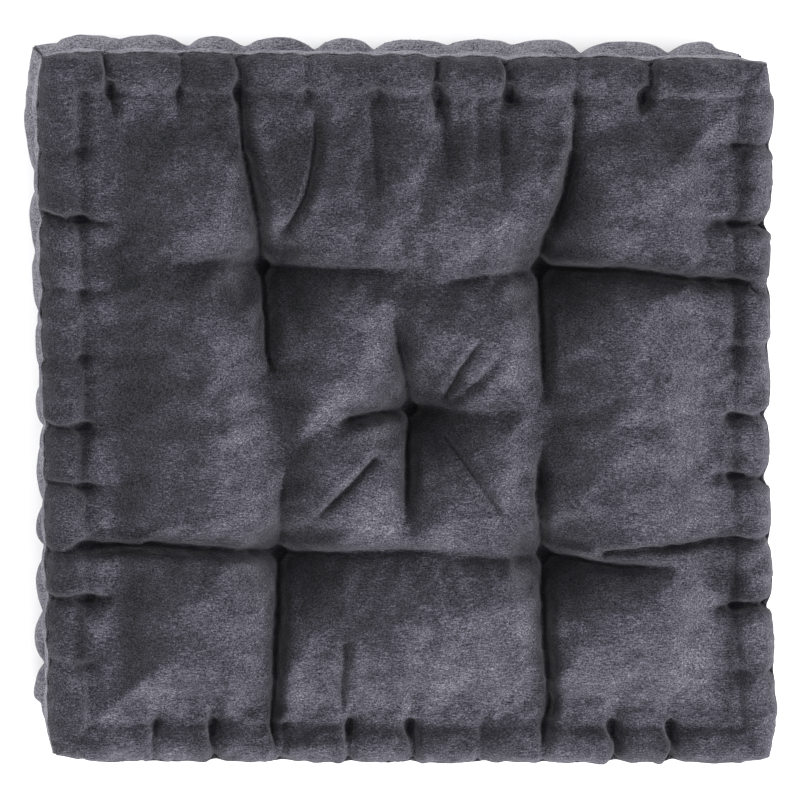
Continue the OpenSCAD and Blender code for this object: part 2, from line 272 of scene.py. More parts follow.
def fieldLift(x, y, stitches):
    # near the groove the field rises between two stitches
    along, u = (y, abs(x)) if abs(x) >= abs(y) else (x, abs(y))
    reach = easeIn((u - grooveU + cover["liftReach"]) / cover["liftReach"])
    if not reach:
        return 0.0
    return cover["grooveLift"] * (0.3 + 0.7 * puffAt(stitches[sideOf(x, y)], along)) * reach


def rollProfile(t, puff, pull):
    # how far out from the groove and how high above it, at a share of the way to the seam
    width = cover["rollWidth"] - pull * (1 - puff)
    low = cover["grooveLift"] * (0.3 + 0.7 * puff)
    crest = cover["heldHeight"] + (cover["rollHeight"] - cover["heldHeight"]) * puff
    out = width * (0.25 * (1 - math.cos(math.pi * t)) + 0.5 * t)
    bulge = math.sin(math.pi * t) ** 0.8 if t < 1 else 0.0
    return out, low * (1 - t) + (crest - low / 2) * bulge


def drawnInAt(i, j):
    # the lower roll is drawn in half way along a side, and not at the corners
    side = sideOf(i, j)
    along = lineAt(j) if side in ("right", "left") else lineAt(i)
    return cover["drawnIn"][side] * max(1 - (along / grooveU) ** 2, 0)


def topPoint(i, j):
    x, y = lineAt(i), lineAt(j)
    if not over(i) and not over(j):
        return Vector((x, y, crownZ - sunkAt(x, y) + fieldLift(x, y, rollStitches)))
    t = cover["rollShares"][max(over(i), over(j))]
    out, high = rollProfile(t, puffOf(i, j, rollStitches), cover["pull"][sideOf(i, j)])
    p = Vector((x, y, 0)) + facing(i, j) * out
    p.z = grooveZ + high
    return p


def bottomPoint(i, j):
    x, y = lineAt(i), lineAt(j)
    if not over(i) and not over(j):
        return Vector((x, y, max(sunkAt(x, y) - fieldLift(x, y, lowerStitches) - cover["settle"], 0)))
    t = cover["rollShares"][max(over(i), over(j))]
    out, high = rollProfile(t, puffOf(i, j, lowerStitches), cover["lowerPull"])
    p = Vector((x, y, 0)) + facing(i, j) * (out - drawnInAt(i, j) * t)
    p.z = max(cover["grooveDrop"] - cover["settle"] - high, 0)
    return p


# the side band's profile, from the seam down to the middle: how far out, how far down
bandShape = ((0.0, 0.0), (0.0, 0.004), (-0.001, 0.009), (-0.004, 0.0145), (-0.0095, 0.0195),
             (-0.0085, 0.026), (-0.0068, 0.034), (-0.006, 0.045))


bandPuff = {"mark": 0.003, "markAt": 0.0195, "markWide": 0.005,      # drawn in under a stitch
            "swell": 0.003, "swellAt": 0.010, "swellWide": 0.006}    # stands out between two


def alongBand(share):
    # a point of the profile, by its share of the way from the seam to the middle
    at = share * (len(bandShape) - 1)
    n = min(int(at), len(bandShape) - 2)
    (a, b), (c, d) = bandShape[n], bandShape[n + 1]
    f = at - n
    return a + (c - a) * f, b + (d - b) * f


def bandPoint(i, j, m):
    # m counts down the band from the top seam, half way is the middle
    half = cover["bandCells"] / 2
    upper = m <= half
    share = m / half if upper else (cover["bandCells"] - m) / half
    out, down = alongBand(share)
    puff = puffOf(i, j, rollStitches if upper else lowerStitches)
    pull = cover["pull"][sideOf(i, j)] if upper else cover["lowerPull"]
    inset = 0 if upper else drawnInAt(i, j)
    fade = max(1 - share, 0) ** 0.6
    mark = bandPuff["mark"] * (1 - puff) * bell(down - bandPuff["markAt"], bandPuff["markWide"])
    swell = bandPuff["swell"] * puff * bell(down - bandPuff["swellAt"], bandPuff["swellWide"])
    swell *= min(share * 8, 1)          # none at the seam itself
    p = Vector((lineAt(i), lineAt(j), 0))
    drawn = (pull * (1 - puff) + inset) * fade
    p += facing(i, j) * (cover["rollWidth"] + out + swell - mark - drawn)
    lowSeam = cover["grooveDrop"] - cover["settle"]
    reach = (grooveZ - lowSeam) / 2 / bandShape[-1][1]
    p.z = (grooveZ + lowSeam) / 2 + (bandShape[-1][1] - down) * reach * (1 if upper else -1)
    return p


def layPanel(bm, place, panel):
    # a grid whose vertices are put in place by their own grid line
    made = bmesh.ops.create_grid(bm, x_segments=2 * lastLine, y_segments=2 * lastLine, size=lastLine)
    for v in made["verts"]:
        v.co = strayed(place(round(v.co.x), round(v.co.y)))
    faces = {f for v in made["verts"] for f in v.link_faces}
    for f in faces:
        f.material_index = panel


def layBand(bm, side, panel):
    rows = cover["bandCells"]
    made = bmesh.ops.create_grid(bm, x_segments=2 * lastLine, y_segments=rows, size=1)
    for v in made["verts"]:
        n, m = round(v.co.x * lastLine), round((1 - v.co.y) / 2 * rows)
        i, j = {"front": (n, -lastLine), "right": (lastLine, n),
                "back": (-n, lastLine), "left": (-lastLine, -n)}[side]
        v.co = strayed(bandPoint(i, j, m))
    for f in {f for v in made["verts"] for f in v.link_faces}:
        f.material_index = panel


def makeShell():
    bm = bmesh.new()
    layPanel(bm, topPoint, 0)
    layPanel(bm, bottomPoint, 1)
    for n, side in enumerate(sideNames):
        layBand(bm, side, 2 + n)
    bmesh.ops.remove_doubles(bm, verts=bm.verts, dist=0.0002)
    bmesh.ops.recalc_face_normals(bm, faces=bm.faces)
    mesh = bpy.data.meshes.new("shell")
    bm.to_mesh(mesh)
    bm.free()
    shell = bpy.data.objects.new("shell", mesh)
    bpy.context.scene.collection.objects.link(shell)
    print("shell", len(mesh.vertices), "vertices")
    return shell


valleyLines = [(strayedPath(path), depth, width) for path, depth, width in valleys]
pits = [strayed(at) for at in tufts.values()]

puffing = {
    "pressure": 4.0, "frames": 16, "tension": 18.0, "bending": 0.6, "spare": -0.03,
    "cap": 0.006, "quality": 5,
}
# how tightly each place is held, and how far that reaches
pinning = {"tuftReach": 0.017, "stitchReach": 0.010, "valley": 0.85, "valleyReach": 0.009,
           "roll": 0.25, "seam": 0.35}


def rollSpots():
    # where each stitch goes down, on the groove
    spots = []
    for side, places in rollStitches.items():
        for along in places:
            (x, y), = placed([(along, grooveU)], *outward[side])
            spots.append(strayed(Vector((x, y, 0))))
    return spots


def pinWeight(co, spots):
    # the tufts and the stitches hold the cloth, and the creases hold it in part
    u = max(abs(co.x), abs(co.y))
    weight = min(1.2 * bell(gapTo(co.x, co.y, pits), pinning["tuftReach"]), 1.0)
    if u > grooveU - 0.030:
        held = min(1.1 * bell(gapTo(co.x, co.y, spots), pinning["stitchReach"]), 0.95)
        weight = max(weight, pinning["roll"], held)
    if u > halfSide - 0.012:
        weight = max(weight, pinning["seam"])
    if u < grooveU + 0.004 and co.z > 0.05:
        for path, depth, width in valleyLines:
            d, side, t = nearest(co.x, co.y, path)
            weight = max(weight, pinning["valley"] * bell(d, pinning["valleyReach"]) * (1 - 0.6 * t))
    return weight


def puffUp(shell):
    # the cloth is cut a little large and blown up against its tufts and stitches
    scene = bpy.context.scene
    rest = [v.co.copy() for v in shell.data.vertices]
    group = shell.vertex_groups.new(name="held")
    spots = rollSpots()
    for v in shell.data.vertices:
        group.add([v.index], pinWeight(v.co, spots), "REPLACE")
    cloth = shell.modifiers.new("cloth", "CLOTH")
    s = cloth.settings
    s.quality = puffing["quality"]
    s.mass = 0.3
    s.tension_stiffness = s.compression_stiffness = puffing["tension"]
    s.shear_stiffness = 5.0
    s.bending_stiffness = puffing["bending"]
    s.use_pressure = True
    s.uniform_pressure_force = puffing["pressure"]
    s.shrink_min = puffing["spare"]
    s.vertex_group_mass = "held"
    s.pin_stiffness = 1.0
    s.effector_weights.gravity = 0
    cloth.point_cache.frame_start = 1
    cloth.point_cache.frame_end = puffing["frames"]
    for f in range(1, puffing["frames"] + 1):
        scene.frame_set(f)
    done = shell.evaluated_get(bpy.context.evaluated_depsgraph_get()).data
    swollen = [v.co.copy() for v in done.vertices]
    scene.frame_set(1)
    shell.modifiers.clear()
    shell.vertex_groups.clear()
    farthest = 0.0
    for v, was, now in zip(shell.data.vertices, rest, swollen):
        move = now - was
        farthest = max(farthest, move.length)
        if move.length > puffing["cap"]:
            move *= puffing["cap"] / move.length
        v.co = was + move
        v.co.z = max(v.co.z, 0.0)
    print("puffed up, farthest move", round(farthest * 1000, 1), "mm")


def smoother(shell):
    # one round of subdivision, made real
    sub = shell.modifiers.new("round", "SUBSURF")
    sub.levels = sub.render_levels = 1
    sub.boundary_smooth = "PRESERVE_CORNERS"
    rounded = shell.evaluated_get(bpy.context.evaluated_depsgraph_get())
    finished = bpy.data.meshes.new_from_object(rounded)
    shell.modifiers.clear()
    shell.data = finished
    return shell


pleat = {"deep": 0.0050, "width": 0.0028, "tailWidth": 0.0036, "dimpleWidth": 0.0050}
gathers = {"count": 26, "width": 0.0016}    # fine puckers along each side of the seam


def pleats():
    # a short fold runs across the roll from every stitch to the seam,
    # and a tail of it into the field
    made = []
    for side, places in rollStitches.items():
        ox, oy = outward[side]
        for along in places:
            slant, bend = random.uniform(-0.005, 0.005), random.uniform(-0.0035, 0.0035)
            tail = random.uniform(0.006, 0.022)
            deep = pleat["deep"] * holdOf(along)
            proud = random.choice((-1, 1))
            steps = [(along, grooveU - 0.002), (along + bend, grooveU + 0.009),
                     (along + slant, halfSide + 0.012)]
            made.append((placed(steps, ox, oy), deep, pleat["width"], proud))
            steps = [(along, grooveU + 0.005), (along - slant * 0.8, grooveU - tail)]
            made.append((placed(steps, ox, oy), deep * 0.7, pleat["tailWidth"], -proud))
            steps = [(along - 0.002, grooveU), (along + 0.002, grooveU)]
            made.append((placed(steps, ox, oy), deep * 0.55, pleat["dimpleWidth"], proud))
        for n in range(gathers["count"]):
            along = random.uniform(-0.24, 0.24)
            length = random.uniform(0.004, 0.011)
            drift = random.uniform(-0.001, 0.001)
            steps = [(along, halfSide - 0.001), (along + drift, halfSide - length)]
            deep = random.uniform(0.0006, 0.0014)
            made.append((placed(steps, ox, oy), deep, gathers["width"], random.choice((-1, 1))))
    return made


def placed(steps, ox, oy):
    # turns (along the side, out from the middle) into places on the panel
    return tuple((abs(oy) * a + ox * u, abs(ox) * a + oy * u) for a, u in steps)


folds = [(strayedPath(path), *rest) for path, *rest in creases + pleats()]
reachOf = {}
for fold in folds:
    xs, ys = [p[0] for p in fold[0]], [p[1] for p in fold[0]]
    room = fold[2] * 6
    reachOf[fold[0]] = ((min(xs) - room, min(ys) - room), (max(xs) + room, max(ys) + room))


def near(x, y):
    # the folds that reach a place
    for path, depth, width, proud in folds:
        low, high = reachOf[path]
        if low[0] < x < high[0] and low[1] < y < high[1]:
            d, side, t = nearest(x, y, path)
            if d < width * 6:
                yield d, side, t, depth, width, proud


# core, shade and shadeWide set the painted shade in and beside each fold
crease = {"sharp": 0.85, "deepest": 0.0065,
          "lip": 0.30, "lipAt": 2.6, "lipWide": 1.5,             # the cloth stands up beside a fold
          "fullDepth": 0.006, "core": 0.7, "shade": 0.80, "shadeWide": 3.2}


def creaseAt(x, y):
    # how far a fold moves the cloth here, and how much painted shade it puts here, from 0 to 1
    total, paintedShade = 0.0, 0.0
    for d, side, t, depth, width, proud in near(x, y):
        end = min(1.0, (1 - t) * 3.5) ** 0.7
        total -= depth * end * math.exp(-(d / (crease["sharp"] * width)) ** 1.4)
        strong = min(depth / crease["fullDepth"], 1) * end
        core = strong * math.exp(-(d / (crease["core"] * width)) ** 1.2)
        shade = crease["shade"] * strong * strong * bell(d, crease["shadeWide"] * width)
        paintedShade = max(paintedShade, core, shade)
        if side == proud:
            lip = bell(d - crease["lipAt"] * width, crease["lipWide"] * width)
            total += crease["lip"] * depth * end * lip
    return max(total, -crease["deepest"]) * min(0.2 + gapTo(x, y, pits) / 0.024, 1), paintedShade


refining = {"reach": 1.3, "depth": 0.0025}


def refine(shell):
    # smaller faces where a fold needs them
    bm = bmesh.new()
    bm.from_mesh(shell.data)
    fine = set()
    for f in bm.faces:
        if f.material_index != 0:
            continue
        c = f.calc_center_median()
        for d, side, t, depth, width, proud in near(c.x, c.y):
            if d < width * refining["reach"] and depth > refining["depth"]:
                fine.update(f.edges)
    bmesh.ops.subdivide_edges(bm, edges=list(fine), cuts=1, use_grid_fill=True, smooth=0.0)
    bm.to_mesh(shell.data)
    bm.free()
    print("refined to", len(shell.data.polygons), "faces")


# how strong and how wide the painted shade is
shading = {"pitCore": 0.98, "pitCoreReach": 0.014, "pit": 0.78, "pitReach": 0.033,
           "valley": 0.56, "valleyReach": 0.014,
           "sideGroove": 0.72, "endGroove": 0.36, "grooveReach": 0.0060}


def shadeAt(x, y):
    # painted shade: darker around the tufts, along the valleys and in the groove
    gap = gapTo(x, y, pits)
    dark = max(shading["pitCore"] * bell(gap, shading["pitCoreReach"]),
               shading["pit"] * bell(gap, shading["pitReach"]))
    for path, depth, width in valleyLines:
        d, side, t = nearest(x, y, path)
        dark = max(dark, shading["valley"] * bell(d, shading["valleyReach"]) * (1 - 0.6 * t))
    u = max(abs(x), abs(y))
    patchy = 0.75 + 1.3 * noise.noise(Vector((x * 24, y * 24, 5.5)))
    strength = shading["sideGroove"] if abs(x) > abs(y) else shading["endGroove"]
    return max(dark, strength * patchy * bell(u - grooveU - 0.002, shading["grooveReach"]))


seams = {"sunk": 0.0008, "edgeStands": 0.0004, "ripple": 0.0010, "small": 0.0004}


def creaseShell(shell):
    # sharp creases, seams and small unevenness, put into the finished surface
    mesh = shell.data
    panelsOf = [set() for v in mesh.vertices]
    for p in mesh.polygons:
        for v in p.vertices:
            panelsOf[v].add(p.material_index)
    nextToSeam = set()
    for p in mesh.polygons:
        if any(len(panelsOf[v]) > 1 for v in p.vertices):
            nextToSeam.update(v for v in p.vertices if len(panelsOf[v]) == 1)
    # the fold attribute holds painted shade for the colour: creases, tufts, valleys, groove and seams
    paintedShade = mesh.attributes.new("fold", "FLOAT", "POINT")
    normals = [v.normal.copy() for v in mesh.vertices]
    for v in mesh.vertices:
        n, where = normals[v.index], panelsOf[v.index]
        move = noise.noise(v.co * 38) * seams["ripple"]
        move += noise.noise(v.co * 110 + Vector((3, 1, 7))) * seams["small"]
        if 0 in where:
            fold, deep = creaseAt(v.co.x, v.co.y)
            move += fold
            paintedShade.data[v.index].value = max(deep, shadeAt(v.co.x, v.co.y))
        # painted shade: the seam and the cloth beside it are painted dark
        if len(where) > 1:
            move -= seams["sunk"]
            paintedShade.data[v.index].value = 1.0
        if v.index in nextToSeam:
            move += seams["edgeStands"]
            paintedShade.data[v.index].value = max(paintedShade.data[v.index].value, 0.45)
        if where != {1} or v.co.z > 0.0008:
            v.co += n * move
        v.co.z = max(v.co.z, 0.0)


def splitPanel(shell, panel, name):
    piece = bpy.data.objects.new(name, shell.data.copy())
    bpy.context.scene.collection.objects.link(piece)
    bm = bmesh.new()
    bm.from_mesh(piece.data)
    bmesh.ops.delete(bm, geom=[f for f in bm.faces if f.material_index != panel], context="FACES")
    for f in bm.faces:
        f.material_index = 0
        f.smooth = True
    bm.to_mesh(piece.data)
    bm.free()
    thick = piece.modifiers.new("thickness", "SOLIDIFY")
    thick.thickness = cover["clothThick"]
    thick.offset = -1
    return piece


def newPiece(name, bm, finish, slotName, *nodes):
    # makes a piece of the object from a bmesh, hangs it under the root and hides the parts it takes the
    # place of
    mesh = bpy.data.meshes.new(name)
    for f in bm.faces:
        f.smooth = True
    bm.to_mesh(mesh)
    bm.free()
    mesh.materials.append(finish)
    piece = bpy.data.objects.new(name, mesh)
    bpy.context.scene.collection.objects.link(piece)
    declare(piece, slotName, *nodes)
    return piece


def declare(piece, slotName, *nodes):
    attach(piece, "root")
    if nodes:
        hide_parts(*nodes)


filling = {"inset": 0.0019, "fill": 0.8, "floorGap": 0.0014}


def makeWadding(shell, finish):
    # the loose fibre fills the whole cover, so it takes the cover's own shape a little smaller
    bm = bmesh.new()
    bm.from_mesh(shell.data)
    bm.normal_update()
    for v in bm.verts:
        v.co -= v.normal * filling["inset"]
        v.co.z = max(v.co.z, filling["floorGap"])
    for f in bm.faces:
        f.material_index = 0
    piece = newPiece("wadding_body", bm, finish, "wadding",
                     "fill_core", "roll_fill_top", "roll_fill_bottom")
    return piece


def addTube(bm, points, radius, sides=6, closed=False):
    # a round cord: one ring, drawn out from each point to the next
    count = len(points)
    places = []
    across = Vector((0, 0, 1))
    for n, p in enumerate(points):
        ahead = points[(n + 1) % count] if closed or n < count - 1 else p
        behind = points[n - 1] if closed or n > 0 else p
        way = (ahead - behind).normalized()
        across = across - way * across.dot(way)
        if across.length < 1e-4:
            across = way.orthogonal()
        across.normalize()
        turned = Matrix((across, way.cross(across), way)).transposed().to_4x4()
        places.append(Matrix.Translation(p) @ turned)
    old = set(bm.faces)
    made = bmesh.ops.create_circle(bm, cap_ends=not closed, radius=radius, segments=sides,
                                   matrix=places[0])
    first = list({e for v in made["verts"] for e in v.link_edges})
    ring = first
    half = (count - 1) // 2
    for n, (was, now) in enumerate(zip(places, places[1:])):
        grown = bmesh.ops.extrude_edge_only(bm, edges=ring)["geom"]
        ring = [g for g in grown if isinstance(g, bmesh.types.BMEdge) and g.is_boundary]
        ends = [g for g in grown if isinstance(g, bmesh.types.BMVert)]
        bmesh.ops.transform(bm, matrix=now @ was.inverted(), verts=ends)
        if n == half:
            side = ring[0].link_faces[0]
    if closed:
        bmesh.ops.bridge_loops(bm, edges=first + ring)
    else:
        bmesh.ops.edgeloop_fill(bm, edges=ring)
    fresh = [f for f in bm.faces if f not in old]
    bm.normal_update()
    bmesh.ops.recalc_face_normals(bm, faces=fresh)
    side.normal_update()
    if side.normal.dot(side.calc_center_median() - (points[half] + points[half + 1]) / 2) < 0:
        bmesh.ops.reverse_faces(bm, faces=fresh)


tie = {"sunk": 0.0020, "strand": 0.0005, "pitch": 0.006, "steps": 60,
       "knotRadius": 0.0011, "coil": 0.0005, "turns": 2.5, "knotSteps": 40}


def coilAt(spot, turn, wide, z):
    return Vector((spot.x + math.cos(turn) * wide, spot.y + math.sin(turn) * wide, z))


def makeTie(name, at, surface, finish):
    # two-ply twine down through the wadding with a knot sitting in each hollow
    spot = strayed(at)
    top = surface.ray_cast(Vector((spot.x, spot.y, 0.3)), Vector((0, 0, -1)))[0]
    low = surface.ray_cast(Vector((spot.x, spot.y, -0.1)), Vector((0, 0, 1)))[0]
    bm = bmesh.new()
    for ply in (0, math.pi):
        points = []
        for n in range(tie["steps"] + 1):
            z = low.z + tie["sunk"] + (top.z - low.z - 2 * tie["sunk"]) * n / tie["steps"]
            turn = 2 * math.pi * (z - low.z) / tie["pitch"] + ply
            points.append(coilAt(spot, turn, tie["strand"], z))
        addTube(bm, points, tie["strand"])
    for z, way in ((top.z - tie["sunk"], 1), (low.z + tie["sunk"], -1)):
        points = []
        for n in range(tie["knotSteps"] + 1):
            share = n / tie["knotSteps"]
            wide = tie["knotRadius"] * (1 - 0.25 * share)
            rise = tie["coil"] * (0.6 + 2.6 * share)
            points.append(coilAt(spot, 2 * math.pi * tie["turns"] * share, wide, z + way * rise))
        addTube(bm, points, tie["coil"])
    return newPiece("tuft_twine_" + name, bm, finish, "twine", "tuft_tie_" + name)


stitch = {"radius": 0.00045, "sunk": 0.0007, "loopIn": 0.013, "loopDown": 0.004,
          "from": 118, "to": -70, "steps": 22,                  # degrees round the roll
          "farthestIn": 0.0125, "widestGap": 0.010, "castFrom": 0.060, "floorGap": 0.0006}


def rollLoop(bm, surface, along, side, upper):
    # one stitch hugs the roll from its groove over the seam to the band and goes back inside
    way = Vector((*outward[side], 0))
    aside = Vector((abs(way.y), abs(way.x), 0))
    if along is None:
        aside, way = Vector((0, 0, 0)), (way + Vector((-way.y, way.x, 0))).normalized()
        out = (grooveU + stitch["loopIn"] * 0.5) * math.sqrt(2)
    else:
        out = grooveU + stitch["loopIn"]
    rise = 1 if upper else -1
    lowSeam = cover["grooveDrop"] - cover["settle"]
    seamZ = grooveZ if upper else lowSeam
    centre = strayed(way * out + aside * (along or 0.0))
    centre.z = seamZ - rise * stitch["loopDown"] * (1 if upper else 0.3)
    points = []
    for n in range(stitch["steps"] + 1):
        turn = math.radians(stitch["from"] + (stitch["to"] - stitch["from"]) * n / stitch["steps"])
        ray = way * math.cos(turn) + Vector((0, 0, rise * math.sin(turn)))
        hit = surface.ray_cast(centre + ray * stitch["castFrom"], -ray)[0]
        if hit is not None and (hit.xy - centre.xy).dot(way.xy) > -stitch["farthestIn"]:
            hit = hit - ray * stitch["sunk"]
            hit.z = max(hit.z, stitch["floorGap"])
            if points and (hit - points[-1]).length > stitch["widestGap"]:
                break
            points.append(hit)
    if len(points) > 4:
        addTube(bm, points, stitch["radius"], 5, True)


def makeRollStitches(surface, finish):
    for side in sideNames:
        for upper, places in ((True, rollStitches[side]), (False, lowerStitches[side])):
            level = "top" if upper else "bottom"
            bm = bmesh.new()
            for along in places + (None,):
                rollLoop(bm, surface, along, side, upper)
            newPiece("roll_thread_" + level + "_" + side, bm, finish, "thread",
                     "roll_stitches_" + level + "_" + side)


def seamLine(shell, first, second):
    # the points where two panels meet, in order
    mesh = shell.data
    meets = {}
    for p in mesh.polygons:
        for key in p.edge_keys:
            meets.setdefault(key, set()).add(p.material_index)
    links = {}
    for (a, b), owners in meets.items():
        if len(owners) == 2 and owners & first and owners & second:
            links.setdefault(a, []).append(b)
            links.setdefault(b, []).append(a)
    ends = sorted(v for v, others in links.items() if len(others) == 1)
    at = ends[0] if ends else min(links)
    order, seen = [at], {at}
    while True:
        onward = [v for v in links[at] if v not in seen]
        if not onward:
            break
        at = onward[0]
        seen.add(at)
        order.append(at)
    return [mesh.vertices[v].co - mesh.vertices[v].normal * 0.0002 for v in order], not ends


seamStitch = {"radius": 0.00035, "dip": 0.0001, "floorGap": 0.0006}


def makeSeams(shell, finish):
    bands = {2, 3, 4, 5}
    for level, panel in (("top", 0), ("bottom", 1)):
        points, closed = seamLine(shell, {panel}, bands)
        for n, p in enumerate(points):
            dip = seamStitch["dip"] if n % 4 < 2 else -seamStitch["dip"]
            p.z = max(p.z + dip, seamStitch["floorGap"])
        bm = bmesh.new()
        addTube(bm, points, seamStitch["radius"], 5, closed)
        newPiece("seam_line_" + level, bm, finish, "thread", "seam_thread_" + level)
    bm = bmesh.new()
    for n in range(4):
        points, closed = seamLine(shell, {2 + n}, {2 + (n + 1) % 4})
        addTube(bm, points, seamStitch["radius"], 5)
    newPiece("corner_seam_line", bm, finish, "thread", "corner_seam_threads")


closing = {"count": 24, "pitch": 0.006, "across": 0.0022, "radius": 0.0004}


def makeClosing(surface, finish):
    # the last gap in the bottom seam, at the back, is sewn up by hand
    bm = bmesh.new()
    for n in range(closing["count"]):
        x = (n - (closing["count"] - 1) / 2) * closing["pitch"]
        points = []
        for k in range(5):
            z = cover["grooveDrop"] - cover["settle"] + closing["across"] * (k / 2 - 1)
            hit = surface.ray_cast(Vector((x + 0.0004 * k, 0.5, z)), Vector((0, -1, 0)))[0]
            if hit is not None:
                points.append(hit + Vector((0, 0.0001, 0)))
        if len(points) > 2:
            addTube(bm, points, closing["radius"], 5)
    newPiece("closing_thread", bm, finish, "thread", "closing_stitches")


def nodesOf(name):
    mat = bpy.data.materials.new(name)
    mat.use_nodes = True
    tree = mat.node_tree
    return mat, tree, tree.nodes["Principled BSDF"]


def addNoise(tree, source, scale, detail, rough=0.6, distort=0.0):
    n = tree.nodes.new("ShaderNodeTexNoise")
    n.inputs["Scale"].default_value = scale
    n.inputs["Detail"].default_value = detail
    n.inputs["Roughness"].default_value = rough
    n.inputs["Distortion"].default_value = distort
    tree.links.new(source, n.inputs["Vector"])
    return n.outputs["Fac"]


def stretched(tree, source, along):
    # draws a pattern out along the weft, which runs left to right
    node = tree.nodes.new("ShaderNodeMapping")
    node.inputs["Scale"].default_value = (along, 1.0, 1.0)
    tree.links.new(source, node.inputs["Vector"])
    return node.outputs["Vector"]


def sumOf(tree, terms, base):
    # base plus each term times its weight
    total = None
    for socket, weight in terms:
        m = tree.nodes.new("ShaderNodeMath")
        m.operation = "MULTIPLY_ADD"
        m.inputs[1].default_value = weight
        tree.links.new(socket, m.inputs[0])
        if total is None:
            m.inputs[2].default_value = base
        else:
            tree.links.new(total, m.inputs[2])
        total = m.outputs[0]
    return total


chenille = {
    "dark": (0.012, 0.0125, 0.0135), "middle": (0.026, 0.025, 0.032), "bright": (0.074, 0.071, 0.088),
    # the pale stop is reached mostly where the left and back bands get their painted sheen
    "pale": (0.135, 0.131, 0.150), "paintedShadeMix": 0.90,
    "middleStop": 0.44, "brightStop": 0.82,
    "grain": 900, "patch": 52, "broad": 15, "weave": 1400,       # how fine each pattern is
    "grainTone": 0.6, "patchTone": 0.16, "broadTone": 0.55, "weaveTone": 0.8, "tone": 0.50,
    "grainFleck": 3.9, "weaveFleck": 1.1,
    "crushedFrom": 0.43, "crushedTo": 0.57,
    "bump": 0.75, "bumpDepth": 0.0014,
    "roughness": 0.9, "specular": 0.06,
    "sheen": 0.16, "sheenRoughness": 0.35, "sheenTint": (0.86, 0.85, 0.92),
}


def chenilleCloth():
    mat, tree, shader = nodesOf("crushed chenille")
    coord = tree.nodes.new("ShaderNodeTexCoord").outputs["Object"]
    across = stretched(tree, coord, 0.16)
    grain = addNoise(tree, coord, chenille["grain"], 3, 0.7)
    patch = addNoise(tree, stretched(tree, coord, 0.60), chenille["patch"], 8, 0.70, 0.3)
    broad = addNoise(tree, coord, chenille["broad"], 3, 0.5, 0.4)
    streak = addNoise(tree, across, chenille["weave"], 2, 0.6)
    # painted light: the paintedLight attribute lightens or darkens the colour by which way the surface
    # faces
    lightFall = tree.nodes.new("ShaderNodeAttribute")
    lightFall.attribute_name = "paintedLight"
    paintedShadeNode = tree.nodes.new("ShaderNodeAttribute")
    paintedShadeNode.attribute_name = "fold"
    crushed = tree.nodes.new("ShaderNodeMapRange")
    crushed.interpolation_type = "SMOOTHSTEP"
    crushed.inputs["From Min"].default_value = chenille["crushedFrom"]
    crushed.inputs["From Max"].default_value = chenille["crushedTo"]
    tree.links.new(patch, crushed.inputs["Value"])
    parts = [(grain, chenille["grainTone"]), (crushed.outputs["Result"], chenille["patchTone"]),
             (broad, chenille["broadTone"]), (streak, chenille["weaveTone"])]
    even = chenille["tone"] - 0.5 * sum(weight for socket, weight in parts)
    tone = sumOf(tree, [(lightFall.outputs["Fac"], 1.0)] + parts, even)
    ramp = tree.nodes.new("ShaderNodeValToRGB")
    stops = ramp.color_ramp.elements
    stops[0].position, stops[0].color = 0.0, (*chenille["dark"], 1)
    stops[1].position, stops[1].color = 1.0, (*chenille["pale"], 1)
    stops.new(chenille["middleStop"]).color = (*chenille["middle"], 1)
    stops.new(chenille["brightStop"]).color = (*chenille["bright"], 1)
    tree.links.new(tone, ramp.inputs["Fac"])
    fleck = tree.nodes.new("ShaderNodeVectorMath")
    fleck.operation = "SCALE"
    tree.links.new(ramp.outputs["Color"], fleck.inputs[0])
    flecks = [(grain, chenille["grainFleck"]), (streak, chenille["weaveFleck"])]
    even = 1.0 - 0.5 * sum(weight for socket, weight in flecks)
    tree.links.new(sumOf(tree, flecks, even), fleck.inputs["Scale"])
    # painted shade: the colour is scaled down where the fold attribute is high
    paintedShadeMix = tree.nodes.new("ShaderNodeVectorMath")
    paintedShadeMix.operation = "SCALE"
    tree.links.new(fleck.outputs["Vector"], paintedShadeMix.inputs[0])
    unshadedShare = sumOf(tree, [(paintedShadeNode.outputs["Fac"], -chenille["paintedShadeMix"])], 1.0)
    tree.links.new(unshadedShare, paintedShadeMix.inputs["Scale"])
    tree.links.new(paintedShadeMix.outputs["Vector"], shader.inputs["Base Color"])
    bump = tree.nodes.new("ShaderNodeBump")
    bump.inputs["Strength"].default_value = chenille["bump"]
    bump.inputs["Distance"].default_value = chenille["bumpDepth"]
    height = sumOf(tree, [(grain, 0.8), (streak, 0.5), (patch, 0.4)], 0.0)
    tree.links.new(height, bump.inputs["Height"])
    tree.links.new(bump.outputs["Normal"], shader.inputs["Normal"])
    shader.inputs["Roughness"].default_value = chenille["roughness"]
    shader.inputs["Sheen Weight"].default_value = chenille["sheen"]
    shader.inputs["Sheen Roughness"].default_value = chenille["sheenRoughness"]
    shader.inputs["Sheen Tint"].default_value = (*chenille["sheenTint"], 1)
    shader.inputs["Specular IOR Level"].default_value = chenille["specular"]
    return mat


